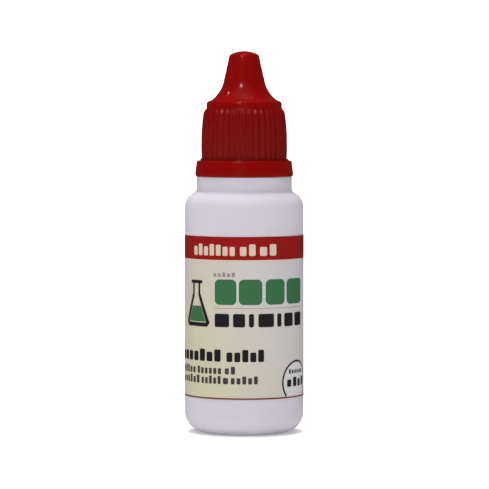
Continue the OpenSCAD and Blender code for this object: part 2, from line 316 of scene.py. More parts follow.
def turned_moulding_rule():
    """Turns an outline about Z. Where the outline's own attributes ask for it, the wall gets grip
    ribs, a thread, a parting line and a slow waviness."""
    floats = ("Rib Depth", "Pitch", "Depth", "Foot", "Crest", "Start", "Turns", "Seam", "Wave")
    rule = Rule("Turned Moulding",
                {"Columns": "Int", "Ribs": "Int", **dict.fromkeys(floats, "Float")})
    rib_depth, pitch, depth, foot, crest, start, turns, seam_depth, wave_depth = [
        rule.input(key) for key in floats]
    outline, columns = rule.input("Geometry"), rule.input("Columns")
    rows = rule.node("GeometryNodeAttributeDomainSize", {"component": "MESH"}, outline)
    grid = rule.node("GeometryNodeMeshGrid", None, Vertices_X=columns + 1, Vertices_Y=rows)
    index = rule.node("GeometryNodeInputIndex")
    column = ((index + 0.5) / rows).math("FLOOR")
    row = index - column * rows
    share = column / columns
    angle = share * math.tau

    def from_outline(kind, value):
        return rule.node("GeometryNodeSampleIndex", {"data_type": kind}, outline, value, row)

    def mark(name):
        settings = {"data_type": "FLOAT"}
        return from_outline("FLOAT", rule.node("GeometryNodeInputNamedAttribute", settings, name))

    x, _, z = rule.parts(from_outline("FLOAT_VECTOR", rule.node("GeometryNodeInputPosition")))

    # Grip ribs: even waves, whose crests are a little narrower than the valleys.
    turn = share * rule.input("Ribs")
    off_crest = (turn - turn.math("ROUND")).size() * 2
    rib = mark("rib")
    wave = 0.5 - 0.5 * (off_crest ** 0.85 * math.pi).math("COSINE")
    x = x - rib_depth * rib * wave

    # A right-hand thread: a ridge round the line that rises by the pitch in one turn. It runs in
    # and out over a ninth of a turn.
    level = (z - start) / pitch - share
    lap = level.math("ROUND")
    along = lap + share
    off_line = (level - lap).size() * pitch
    ridge = ((foot / 2 - off_line) / ((foot - crest) / 2)).clamped()
    run_in = (along * 9).clamped()
    run_out = ((turns - along) * 9).clamped()
    ridge = rule.node(
        "ShaderNodeMapRange", {"interpolation_type": "SMOOTHSTEP"}, ridge * run_in * run_out
    )
    x = x + depth * mark("thread") * ridge

    # The parting line, on both sides of the bottle, whose half width is an angle.
    half_turn = share * 2
    off_seam = (half_turn - half_turn.math("ROUND")).size() * math.pi
    seam = (1 - off_seam / SEAM_HALF_WIDTH).clamped()
    x = x + seam_depth * mark("seam") * seam

    place = rule.point(x * angle.math("COSINE"), x * angle.math("SINE"), z)
    clouds = rule.node("ShaderNodeTexNoise", {"noise_dimensions": "3D"}, Vector=place,
                       Scale=WAVES_PER_METRE, Detail=1.0)
    dip = wave_depth * mark("wave") * clouds
    out = rule.vector("NORMALIZE", rule.vector("MULTIPLY", place, (1.0, 1.0, 0.0)))
    place = rule.vector("SUBTRACT", place, rule.scaled(out, dip))
    wall = rule.node("GeometryNodeSetPosition", None, grid, Position=place)
    # The crest and ribbed masks let the cap's material paint its crests paler as a highlight and
    # its ribbed zone darker as shade.
    for name, value in (("crest", rib * (1 - off_crest)), ("ribbed", rib)):
        wall = rule.node("GeometryNodeStoreNamedAttribute",
                         {"data_type": "FLOAT", "domain": "POINT"}, wall, Name=name, Value=value)
    return rule.end(rule.node("GeometryNodeMergeByDistance", None, wall, Distance=WELD))


def wrapped_print_rule():
    """Wraps flat artwork round the body: X runs along the wall from the front, Z is the height, and
    Y is the height of a layer above the film."""
    rule = Rule("Wrapped Print", {"Radius": "Float", "Lift": "Float"})
    x, y, z = rule.parts(rule.node("GeometryNodeInputPosition"))
    angle = x / rule.input("Radius")
    reach = rule.input("Radius") + rule.input("Lift") + y
    place = rule.point(reach * angle.math("SINE"), -1.0 * reach * angle.math("COSINE"), z)
    return rule.end(rule.node("GeometryNodeSetPosition", None, rule.input("Geometry"),
                              Position=place))


def ring_of_bridges_rule():
    """Sets copies of a bridge round a circle."""
    rule = Rule("Ring Of Bridges", {"Count": "Int", "First": "Float"})
    count = rule.input("Count")
    points = rule.node("GeometryNodePoints", None, count)
    angle = rule.node("GeometryNodeInputIndex") / count * math.tau + rule.input("First")
    return rule.end(rule.node(
        "GeometryNodeInstanceOnPoints", None, points, Instance=rule.input("Geometry"),
        Rotation=rule.point(0.0, 0.0, angle),
    ))


# ---- Finishes ----


def dimmed(shade, share):
    return [c * share for c in shade]


class Finish(Tree):
    """A material whose pattern is fixed to the piece."""

    def __init__(self, name):
        self.material = bpy.data.materials.new(name)
        self.material.use_nodes = True
        super().__init__(self.material.node_tree)
        self.nodes.nodes.clear()
        self.place = self.node("ShaderNodeTexCoord", output=3)

    def noise(self, grain, detail=2.0, rough=0.5, stretch=None):
        """Noise with grains of about that many millimetres."""
        where = self.place
        if stretch:
            where = self.vector("MULTIPLY", where, stretch)
        return self.node("ShaderNodeTexNoise", None, Vector=where, Scale=1 / (grain * MM),
                         Detail=detail, Roughness=rough)

    def mix(self, share, first, second):
        first, second = [c if isinstance(c, Value) else (*c, 1.0) for c in (first, second)]
        made = self.node("ShaderNodeMix", {"data_type": "RGBA"}).socket.node
        for i, value in ((0, share), (6, first), (7, second)):
            if isinstance(value, Value):
                self.nodes.links.new(value.socket, made.inputs[i])
            else:
                made.inputs[i].default_value = value
        return Value(self, made.outputs[2])

    def bump(self, height, depth, normal=None):
        """A bump whose full height stands that many millimetres."""
        return self.node("ShaderNodeBump", None, Strength=1.0, Distance=depth * MM,
                         Height=height, Normal=normal)

    def done(self, **sockets):
        shader = self.node("ShaderNodeBsdfPrincipled", None, **sockets)
        self.node("ShaderNodeOutputMaterial", None, shader)
        return self.material


def white_plastic(shade):
    """Blown polyethylene: a satin white with faint clouds and a fine orange peel."""
    finish = Finish("White Blown Plastic")
    clouds = finish.noise(9.0, 3.0)
    scuffs = finish.noise(0.7, 4.0, 0.7, (1.0, 1.0, 0.12))
    tone = finish.mix(clouds, dimmed(shade, 0.955), shade)
    peel = finish.bump(finish.noise(0.45, 2.0), 0.006)
    slow = finish.bump(finish.noise(5.0, 1.0), 0.05, peel)
    return finish.done(
        Base_Color=tone, Roughness=0.33 + clouds * 0.08 + scuffs * 0.08, Normal=slow,
        Subsurface_Weight=0.5, Subsurface_Radius=(1.0, 0.9, 0.85), Subsurface_Scale=0.0015,
    )


def natural_plastic(shade):
    """The dropper's softer, slightly see-through polyethylene."""
    finish = Finish("Natural Dropper Plastic")
    clouds = finish.noise(3.0, 2.0)
    tone = finish.mix(clouds, dimmed(shade, 0.94), shade)
    grain = finish.bump(finish.noise(0.3, 2.0), 0.004)
    return finish.done(
        Base_Color=tone, Roughness=0.30 + clouds * 0.12, Normal=grain,
        Subsurface_Weight=0.3, Subsurface_Radius=(1.0, 0.95, 0.85), Subsurface_Scale=0.002,
    )


def red_plastic(shade):
    """Deep red moulded plastic: flow clouds, a fine grain, a painted shade that darkens the ribbed
    zone, and rib crests painted paler as a painted highlight and made duller.
    """
    finish = Finish("Deep Red Moulded Plastic")
    crest, ribbed = [finish.node("ShaderNodeAttribute", {"attribute_name": key}, output=2)
                     for key in ("crest", "ribbed")]
    flow = finish.noise(4.0, 3.0, 0.6, (1.0, 1.0, 0.45))
    # Mask of the rib crests, which are painted paler as a painted highlight and also made duller.
    crest_highlight = (crest - 0.55).clamped() * finish.noise(0.8, 3.0)
    tone = finish.mix(flow, dimmed(shade, 0.86), shade)
    # Painted shade: the whole ribbed zone is darkened, standing in for the shade of deeper grooves.
    tone = finish.scaled(tone, 1 - ribbed * 0.14)
    # Painted highlight: the rib crests are mixed towards a paler red.
    tone = finish.mix(crest_highlight * 0.2, tone, dimmed(shade, 1.4))
    grain = finish.bump(finish.noise(0.35, 2.0), 0.004)
    slow = finish.bump(finish.noise(2.2, 1.0), 0.012, grain)
    return finish.done(
        Base_Color=tone, Roughness=0.15 + flow * 0.06 + ribbed * 0.13 + crest_highlight * 0.1, Normal=slow,
        Specular_IOR_Level=0.30,
    )


def label_film(label, radius):
    """Printed film: a warm ground that turns cool towards the upper right, with a faint mottle."""
    finish = Finish("Printed Label Film")
    x, y, z = finish.parts(finish.place)
    middle = label.seam_angle - math.pi / 2
    aside = x * math.cos(middle) + y * math.sin(middle)
    ahead = x * math.sin(middle) - y * math.cos(middle)
    along = (aside.math("ARCTAN2", ahead) + middle) * radius
    low, high = LABEL_LOW.z, LABEL_HIGH.z
    across = (along / (22 * MM) + 0.5).clamped()
    upward = ((z - low) / (high - low)).clamped()
    clouds = finish.noise(7.0, 3.0)
    share = (across * 0.62 + upward * 0.5 + (clouds - 0.5) * 0.25 - 0.06).clamped()
    tone = finish.mix(share, label.warm, label.cool)
    mottle = finish.noise(0.35, 2.0)
    tone = finish.scaled(tone, 0.975 + mottle * 0.05)
    fibre = finish.bump(finish.noise(0.6, 3.0), 0.004)
    slow = finish.bump(finish.noise(6.0, 1.0), 0.04, fibre)
    return finish.done(Base_Color=tone, Roughness=0.40 + mottle * 0.12, Normal=slow,
                       Specular_IOR_Level=0.3)


def ink(name, shade):
    """A layer of print, with the slight mottle of its solid areas."""
    finish = Finish(name)
    mottle = finish.noise(0.25, 3.0, 0.6)
    clouds = finish.noise(3.5, 2.0)
    tone = finish.scaled(finish.mix(clouds, dimmed(shade, 0.93), shade), 0.94 + mottle * 0.12)
    return finish.done(Base_Color=tone, Roughness=0.34 + mottle * 0.12,
                       Normal=finish.bump(mottle, 0.003), Specular_IOR_Level=0.2)


# ---- Outlines and pieces ----


def arc(x, z, radius, start, end, steps=None):
    """Points of an arc about (x, z) between two angles in radians."""
    steps = steps or max(2, math.ceil(abs(end - start) / ARC_STEP))
    angles = [start + (end - start) * i / steps for i in range(steps + 1)]
    return [(x + radius * math.cos(a), z + radius * math.sin(a), 0.0) for a in angles]


def rounded(corners, closed):
    """Rounds an outline's corners, each (x, z, radius), where the radius is in millimetres."""
    path = []
    last = len(corners) - 1
    share = 0.49
    for i, (x, z, radius) in enumerate(corners):
        here = Vector((x, z))
        before = Vector(corners[i - 1][:2]) - here
        after = Vector(corners[(i + 1) % len(corners)][:2]) - here
        sharp = radius <= 0 or (not closed and i in (0, last))
        sharp = sharp or min(before.length, after.length) == 0
        half = 0 if sharp else before.angle(after) / 2
        if sharp or half > NEARLY_STRAIGHT:
            path.append((x, z))
            continue
        reach = min(radius * MM / math.tan(half), before.length * share, after.length * share)
        before.normalize(), after.normalize()
        centre = here + (before + after).normalized() * (reach / math.cos(half))
        first, final = here + before * reach - centre, here + after * reach - centre
        start = math.atan2(first.y, first.x)
        sweep = (math.atan2(final.y, final.x) - start + math.pi) % math.tau - math.pi
        path += [p[:2] for p in arc(*centre, first.length, start, start + sweep)]
    return path


def spaced(path, longest):
    """Adds points so that no stretch is longer than longest(x, z) says for its middle."""
    out = [path[0]]
    for (x0, z0), (x1, z1) in zip(path, path[1:]):
        span = math.hypot(x1 - x0, z1 - z0)
        if span < WELD:
            continue
        count = max(1, math.ceil(span / longest((x0 + x1) / 2, (z0 + z1) / 2)))
        out += [(x0 + (x1 - x0) * i / count, z0 + (z1 - z0) * i / count)
                for i in range(1, count + 1)]
    return out


def new_object(name, data):
    made = bpy.data.objects.new(name, data)
    bpy.context.scene.collection.objects.link(made)
    return made


def outline_piece(name, path, marks):
    """An object that holds an outline's points, with what marks(x, z) says of each."""
    mesh = bpy.data.meshes.new(name)
    mesh.from_pydata([(x, 0.0, z) for x, z in path], [], [])
    for key in ("rib", "thread", "seam", "wave"):
        values = [marks(x, z).get(key, 0.0) if marks else 0.0 for x, z in path]
        mesh.attributes.new(key, "FLOAT", "POINT").data.foreach_set("value", values)
    return new_object(name, mesh)


def rounded_box(name, sizes, middle, edge, segments):
    shape = bmesh.new()
    bmesh.ops.create_cube(shape, size=1.0)
    bmesh.ops.scale(shape, vec=sizes, verts=shape.verts)
    bmesh.ops.translate(shape, vec=middle, verts=shape.verts)
    bmesh.ops.bevel(shape, geom=shape.edges[:], offset=edge, segments=segments, affect="EDGES",
                    profile=0.5, clamp_overlap=True)
    mesh = bpy.data.meshes.new(name)
    shape.to_mesh(mesh)
    shape.free()
    return new_object(name, mesh)


def close_up(piece):
    """Points the faces outwards and keeps the hard edges hard."""
    shape = bmesh.new()
    shape.from_mesh(piece.data)
    bmesh.ops.dissolve_degenerate(shape, dist=WELD / 2, edges=shape.edges)
    bmesh.ops.recalc_face_normals(shape, faces=shape.faces)
    shape.to_mesh(piece.data)
    shape.free()
    piece.data.set_sharp_from_angle(angle=HARD_EDGE)
    return piece


def settle(piece, body, slot, *nodes):
    """Makes a finished piece ride on its body, in place of the CAD nodes that it stands for."""
    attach(piece, body)
    if nodes:
        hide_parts(*nodes)


def turned(name, corners, material, longest, marks=None, closed=False, **values):
    """Rounds an outline's corners and turns it about Z."""
    path = rounded(corners, closed)
    if closed:
        path.append(path[0])
    piece = outline_piece(name, spaced(path, longest), marks)
    rule = bpy.data.node_groups.get("Turned Moulding") or turned_moulding_rule()
    thread = bpy.context.scene.dropper_thread
    values = {
        "columns": 160, "ribs": 1, "rib_depth": 0.0, "pitch": thread.pitch, "depth": thread.depth,
        "foot": thread.foot, "crest": thread.crest, "start": 0.0, "turns": 0.0, "seam": 0.0,
        "wave": 0.0, **values,
    }
    return close_up(run_rule(piece, rule, material=material, **values))


def thread_start(scene):
    """Height of the middle of the neck's thread where it begins, at +X."""
    thread = scene.dropper_thread
    return BOTTLE_HIGH.z - thread.end_gap - thread.neck_turns * thread.pitch


class DROPPER_OT_bottle(bpy.types.Operator):
    """Make the blow-moulded bottle, with its threaded neck and the pinched line under its base"""

    bl_idname = "dropper.bottle"
    bl_label = "Bottle"
    hollow_slope = 1.2
    seam_foot = 0.35

    def execute(self, context):
        size = context.scene.dropper_bottle
        outer = BOTTLE_HIGH.x
        top = BOTTLE_HIGH.z
        wall = size.wall
        foot_in = outer - size.corner - size.foot
        hollow = foot_in - size.push_up * self.hollow_slope
        middle = outer - size.shoulder
        lean = math.acos((size.collar - middle) / size.shoulder)
        shoulder_z = size.straight + size.shoulder * math.sin(lean)
        collar_z = shoulder_z + size.collar_height
        bead_z = BAND_LOW.z + context.scene.dropper_band.lip + PLAY
        bead = size.neck + size.bead
        bore = size.neck - size.neck_wall
        # The shoulder's arcs stop short of the collar, which leaves room for its fillet.
        corners = [
            (0.0, size.push_up, 0.0),
            (hollow, size.push_up, 1.2),
            (foot_in, 0.0, 0.6),
            (foot_in + size.foot * 0.5, 0.0, 0.0),
            *arc(outer - size.corner, size.corner, size.corner, -QUARTER, 0.0),
            *arc(middle, size.straight, size.shoulder, 0.0, lean - 0.4),
            (size.collar, shoulder_z + 0.02 * MM, 0.9),
            (size.collar, collar_z, 0.12),
            (size.neck, collar_z, 0.25),
            (size.neck, bead_z, 0.2),
            (bead, bead_z, 0.15),
            (bead, bead_z + size.bead_height * 0.5, 0.3),
            (size.neck, bead_z + size.bead_height, 0.4),
            (size.neck, top, 0.35),
            (bore, top, 0.25),
            (bore, collar_z - wall, 0.5),
            (size.collar - wall, collar_z - wall, 0.5),
            (size.collar - wall, shoulder_z - wall / 2, 0.4),
            *arc(middle, size.straight, size.shoulder - wall, lean - 0.1, 0.0),
            *arc(outer - size.corner, size.corner, size.corner - wall, 0.0, -QUARTER),
            (foot_in, wall, 0.6),
            (hollow, size.push_up + wall, 1.2),
            (0.0, size.push_up + wall, 0.0),
        ]
        plain_end = 0.4 * MM
        thread_low = bead_z + size.bead_height + plain_end

        def on_thread(x, z):
            return x > size.neck - HAIR and thread_low < z < top - plain_end

        def marks(x, z):
            outside = x > size.collar - 5 * HAIR and z > size.corner * self.seam_foot
            return {
                "thread": float(on_thread(x, z)),
                "seam": float(outside and z < collar_z),
                "wave": float(x > outer - 5 * HAIR and z > size.corner),
            }

        def longest(x, z):
            return 0.14 * MM if on_thread(x, z) else 3.0 * MM

        piece = turned(
            "bottle_shell", corners, white_plastic(size.plastic), longest, marks,
            columns=size.columns, seam=size.seam, wave=size.wave,
            start=thread_start(context.scene), turns=context.scene.dropper_thread.neck_turns,
        )
        settle(piece, "bottle", "bottle", "bottle")
        self.pinch_line(size, foot_in, piece.data.materials[0])
        return {"FINISHED"}

    def pinch_line(self, size, reach, material):
        """The low ridge across the hollow of the base, where the mould pinched the tube shut."""
        half = reach - size.push_up * self.hollow_slope - 0.5 * MM
        ridge = rounded_box("pinch_line", (half * 2, 0.7 * MM, 0.36 * MM),
                            (0.0, 0.0, size.push_up), 0.15 * MM, 4)
        ridge.data.shade_smooth()
        ridge.data.materials.append(material)
        settle(ridge, "bottle", "bottle")


class DROPPER_OT_dropper(bpy.types.Operator):
    """Make the dropper that is pressed into the neck"""

    bl_idname = "dropper.dropper"
    bl_label = "Dropper"

    def execute(self, context):
        size = context.scene.dropper_dropper
        bottle = context.scene.dropper_bottle
        bore = bottle.neck - bottle.neck_wall
        groove = bore - 0.15 * MM
        seat = BOTTLE_HIGH.z
        flange = seat + size.flange
        tip = DROPPER_HIGH.z
        low = DROPPER_LOW.z
        root, edge = 1.2 * MM, 0.3 * MM
        nozzle_wall = 1.3 * MM
        mouth_z, channel_high, channel_low = (tip - depth * MM for depth in (1.0, 1.4, 4.0))
        plug_in = bore - 1.0 * MM
        lead = 0.6 * MM
        beads = 3
        bead = bore + 0.04 * MM
        bead_step = (seat - low - lead) / beads
        corners = [(plug_in, low, 0.2), (groove - lead / 2, low, 0.2)]
        for i in range(beads):
            z = low + lead + bead_step * i
            corners += [(groove, z, 0.05), (bead, z + 0.15 * MM, 0.12),
                        (bead, z + 0.8 * MM, 0.12), (groove, z + 0.95 * MM, 0.05)]
        corners += [
            (groove, seat, 0.0),
            (bottle.neck, seat, 0.2),
            (bottle.neck, flange, 0.3),
            *arc(size.nozzle_foot + root, flange + root, root, -QUARTER, -math.pi),
            *arc(size.nozzle_tip - edge, tip - edge, edge, 0.1, QUARTER),
            (size.mouth, tip, 0.1),
            (size.mouth, mouth_z, 0.1),
            (size.channel, channel_high, 0.1),
            (size.channel, channel_low, 0.1),
            (size.nozzle_foot - nozzle_wall, seat, 0.5),
            (plug_in, seat, 0.4),
        ]
        piece = turned("dropper_moulding", corners, natural_plastic(size.plastic),
                       lambda x, z: 2.0 * MM, closed=True, columns=128)
        settle(piece, "bottle", "insert", "dropper_insert")
        return {"FINISHED"}


class DROPPER_OT_cap(bpy.types.Operator):
    """Make the screw cap: ribbed skirt, smooth step, flared spire, inner thread and closing pin"""

    bl_idname = "dropper.cap"
    bl_label = "Cap"

    def barrel(self, size, z):
        off = z - CAP_LOW.z - size.widest
        return size.bore + size.skirt_wall - size.barrel + math.sqrt(size.barrel**2 - off**2)

    def spire(self, size, step_top):
        """The spire's flare, cone, top edge and dome, and what its inside needs of them."""
        slope = math.tan(size.taper)
        flare_x = size.step - 0.4 * MM + size.flare * math.sin(size.flare_slope)
        flare_z = step_top + size.flare * math.cos(size.flare_slope)
        cone_x = flare_x - size.flare * math.cos(size.taper)
        cone_z = flare_z - size.flare * math.sin(size.taper)
        edge, dome = 1.0 * MM, 7.0 * MM
        dome_z = CAP_HIGH.z - dome
        line = cone_x + cone_z * slope - edge / math.cos(size.taper)
        middle = line * slope + dome_z
        spread = line**2 + dome_z**2 - (dome - edge) ** 2
        edge_z = (middle + math.sqrt(middle**2 - (1 + slope**2) * spread)) / (1 + slope**2)
        edge_x = line - edge_z * slope
        lean = math.atan2(edge_z - dome_z, edge_x)
        outside = [
            *arc(0.0, dome_z, dome, QUARTER, lean),
            *arc(edge_x, edge_z, edge, lean, size.taper),
            *arc(flare_x, flare_z, size.flare, math.pi + size.taper,
                 1.5 * math.pi - size.flare_slope - math.radians(7), 13),
        ]
        return outside, (flare_x, flare_z), cone_x + cone_z * slope

    def inside(self, context, size, flare, wall_line):
        """The cap's underside from its pin down to the lower edge."""
        dropper = context.scene.dropper_dropper
        bottle = context.scene.dropper_bottle
        nozzle = DROPPER_HIGH.z
        ceiling = nozzle + 2.7 * MM
        pin, pin_tip = dropper.mouth - 0.05 * MM, 0.6
        pin_low, pin_high = nozzle - 0.9 * MM, nozzle + 0.45 * MM
        boss, boss_low = 1.5 * MM, nozzle + 0.75 * MM
        seal_z = BOTTLE_HIGH.z + dropper.flange + SEAL_GAP
        mouth = dropper.nozzle_foot + 1.2 * MM + 0.5 * MM
        inner = size.flare + size.spire_wall
        turn = math.acos((mouth - flare[0]) / inner)
        slope = math.tan(size.taper)
        seal, half_seal = (mouth + bottle.neck) / 2, 0.25 * MM
        ceiling_x = wall_line - ceiling * slope - size.spire_wall / math.cos(size.taper)
        return [
            (size.bore, seal_z, 0.3),
            (seal + half_seal, seal_z, 0.0),
            (seal, seal_z - 0.1 * MM, 0.05),
            (seal - half_seal, seal_z, 0.0),
            (mouth, seal_z, 0.15),
            *arc(*flare, inner, math.tau - turn, math.pi + size.taper, 12),
            (ceiling_x, ceiling, 0.4),
            (boss, ceiling, 0.3),
            (boss, boss_low, 0.2),
            (pin, pin_high, 0.1),
            (pin, pin_low + 0.36 * MM, 0.15),
            (pin * pin_tip, pin_low, 0.1),
            (0.0, pin_low, 0.0),
        ]

    def execute(self, context):
        size = context.scene.dropper_cap
        thread = context.scene.dropper_thread
        low = CAP_LOW.z
        seal_z = BOTTLE_HIGH.z + context.scene.dropper_dropper.flange + SEAL_GAP
        step_top = seal_z + size.top
        step_z = step_top - size.step_height
        spire, flare, wall_line = self.spire(size, step_top)
        round_z = step_z - 1.1 * MM
        ledge = size.step + 0.12 * MM
        foot = 0.1 * MM
        side_steps, crown_steps = 12, 7
        side = [low + foot + (round_z - low - foot) * i / side_steps
                for i in range(side_steps + 1)]
        crown, fullness = self.barrel(size, round_z) - ledge, 0.45
        corners = [
            *spire,
            (size.step, step_top + 0.02 * MM, 0.6),
            (size.step + 0.05 * MM, step_z, 0.08),
            *[(ledge + crown * (fullness * math.sin(a) + (1 - fullness) * (1 - math.cos(a))),
               step_z - 0.05 * MM - 1.05 * MM * (1 - math.cos(a)), 0.0)
              for a in [QUARTER * i / crown_steps for i in range(crown_steps + 1)]],
            *[(self.barrel(size, z), z, 0.0) for z in reversed(side)],
            (self.barrel(size, low) - 0.01 * MM, low, 0.0),
            (self.barrel(size, low) - 0.3 * MM, low, 0.0),
            (size.bore, low, 0.25),
            *self.inside(context, size, flare, wall_line),
        ]
        floor = ledge + 0.02 * MM

        def on_thread(x, z):
            return abs(x - size.bore) < HAIR and low + 0.3 * MM < z < seal_z - 0.5 * MM

        def marks(x, z):
            ribbed = x > floor and z < step_z - HAIR and x > size.bore + 0.5 * MM
            rib = min(1.0, (x - floor) / size.rib_depth) if ribbed else 0.0
            return {"rib": rib, "thread": -float(on_thread(x, z))}

        def longest(x, z):
            return 0.16 * MM if on_thread(x, z) else 2.0 * MM

        piece = turned(
            "cap_moulding", corners, red_plastic(size.plastic), longest, marks,
            columns=size.ribs * 10, ribs=size.ribs, rib_depth=size.rib_depth,
            turns=thread.cap_turns, start=thread_start(context.scene) - thread.pitch / 2,
        )
        settle(piece, "cap", "cap", "cap")
        return {"FINISHED"}


class DROPPER_OT_band(bpy.types.Operator):
    """Make the tamper band with its inner lip, and the bridges on its upper edge"""

    bl_idname = "dropper.band"
    bl_label = "Tamper Band"

    def execute(self, context):
        size = context.scene.dropper_band
        bottle = context.scene.dropper_bottle
        bead = bottle.neck + bottle.bead
        bore = bead + PLAY
        web_top = BRIDGE_HIGH.z - 0.012 * MM
        hook = bead - size.hook
        low, high = BAND_LOW.z, BAND_HIGH.z
        outer = BAND_HIGH.x
        red = bpy.data.materials.get("Deep Red Moulded Plastic")
        corners = [
            (hook, low, 0.35),
            (outer, low, 0.28),
            (outer, low + 0.9 * MM, 0.8),
            (outer - size.flare, high, 0.42),
            (bore + size.web, high, 0.12),
            (bore + size.web, web_top, 0.03),
            (bore, web_top, 0.03),
            (bore, low + size.lip, 0.15),
            (hook, low + size.lip - 0.3 * MM, 0.2),
        ]
        band = turned("tamper_ring", corners, red, lambda x, z: 1.0 * MM, closed=True, columns=200)
        settle(band, "tamper_band", "cap", "tamper_band")

        inner, outer = 8.7 * MM, bore + 1.05 * MM
        wide, edge = 1.1 * MM, 0.1 * MM
        height = BRIDGE_HIGH.z - BRIDGE_LOW.z
        bridge = rounded_box("bridges", (outer - inner, wide, height),
                             ((outer + inner) / 2, 0.0, BRIDGE_LOW.z + height / 2), edge, 3)
        bridges = run_rule(bridge, ring_of_bridges_rule(), count=size.bridges,
                           first=size.first_bridge, material=red)
        settle(bridges, "tamper_band", "cap", "tamper_bridges")
        return {"FINISHED"}


# ---- The label and its print ----

# A row of print is (base, height, share of a place that its block fills, [words]), and a word is
# (start, end, blocks). Lengths are in millimetres along the wall from the middle of the front.
HEADING = (40.75, 2.6, 0.72, [(-13.1, -2.1, 7), (-0.95, 2.55, 2), (3.55, 7.55, 2)])
SMALL_ROW = (36.0, 1.05, 0.66, [(-7.2, -2.05, 5)])
NAME_ROW = (16.95, 2.75, 0.76, [(-21.5, -5.4, 8), (-4.0, 4.5, 5)])
TEXT_ROWS = [
    (14.15, 1.75, 0.66, [(-21.5, -12.7, 7), (-11.9, -5.3, 6), (-4.4, -2.05, 2)]),
    (11.95, 1.8, 0.66, [(-21.5, -11.3, 8), (-10.6, -5.4, 5), (-4.85, -3.65, 1), (-3.0, 3.05, 5)]),
]
SIDE_ROWS = [
    (35.2 - 2.1 * i, 1.05, 0.62, [(21.8, 24.2 + i % 2, 3), (25.0 + i % 2, 28.2 + i % 3 * 0.5, 3),
                                  (29.2 + i % 3 * 0.5, 31.6, 2)])
    for i in range(7)
] + [
    (34.0 - 2.2 * i, 1.15, 0.62, [(-48.0, -43.5 + i % 3, 5 + i % 2), (-42.5 + i % 3, -36.0, 6),
                                  (-35.0, -29.0 - i % 4, 6 - i % 2)])
    for i in range(9)
]
RING_ROWS = [
    (13.95, 1.05, 0.62, [(11.3, 16.9, 6)]),
    (11.0, 2.1, 0.66, [(10.7, 14.2, 2), (14.7, 17.9, 2)]),
]
RHYTHM = (1.0, 0.78, 0.78, 0.78, 1.0, 0.78, 0.95, 0.78, 0.78)
CORNER_SHARE = 0.22

# Blocks that stand alone: (left, foot, right, top, corner radius).
BIG_BLOCKS = [(left, 29.75, right, 35.45, 1.1)
              for left, right in ((-6.85, -1.75), (-1.2, 4.1), (4.9, 9.9), (10.5, 16.4))]
BOLD_BLOCKS = [(left, 24.75, right, 27.75, 0.4)
               for left, right in ((-6.85, -3.4), (-2.5, 0.2), (1.05, 2.2), (3.2, 6.95),
                                   (7.8, 8.95), (9.8, 12.6), (13.3, 16.3))]
GOLD_RULE = (-6.85, 28.9, 16.2, 29.04)

# Lines right round the label: (foot, top).
RED_BAND_FOOT = 39.8
CREAM_LINE = (39.45, RED_BAND_FOOT)
LOWER_LINE = (8.48, 8.82)

# The ring at the lower right and the disc under it: (x, z, outer radius, inner radius, cut-off).
RING = (14.1, 12.0, 4.95, 4.5, LOWER_LINE[1])
DISC = (14.1, 12.0, 4.7, 0, LOWER_LINE[1])

# The plain conical flask: strokes on both sides of its middle line, a base, a lip and a liquid.
FLASK_X = -12.3
FLASK_WALL = [(-4.1, 25.6), (-3.1, 25.6), (-0.7, 31.7), (-0.7, 34.4), (-1.3, 34.4), (-1.3, 32.2)]
FLASK_BASE = [(-4.1, 25.6), (4.1, 25.6), (3.4, 24.7), (-3.4, 24.7)]
FLASK_STROKES = [[(FLASK_X + x * side, z) for x, z in stroke]
                 for stroke, side in ((FLASK_WALL, 1), (FLASK_WALL, -1), (FLASK_BASE, 1))]
FLASK_LIP = (FLASK_X - 2.0, 34.4, FLASK_X + 2.0, 35.1, 0.3)
FLASK_LIQUID = [(FLASK_X + x, z)
                for x, z in ((-2.92, 25.8), (2.92, 25.8), (1.54, 29.3), (-1.54, 29.3))]


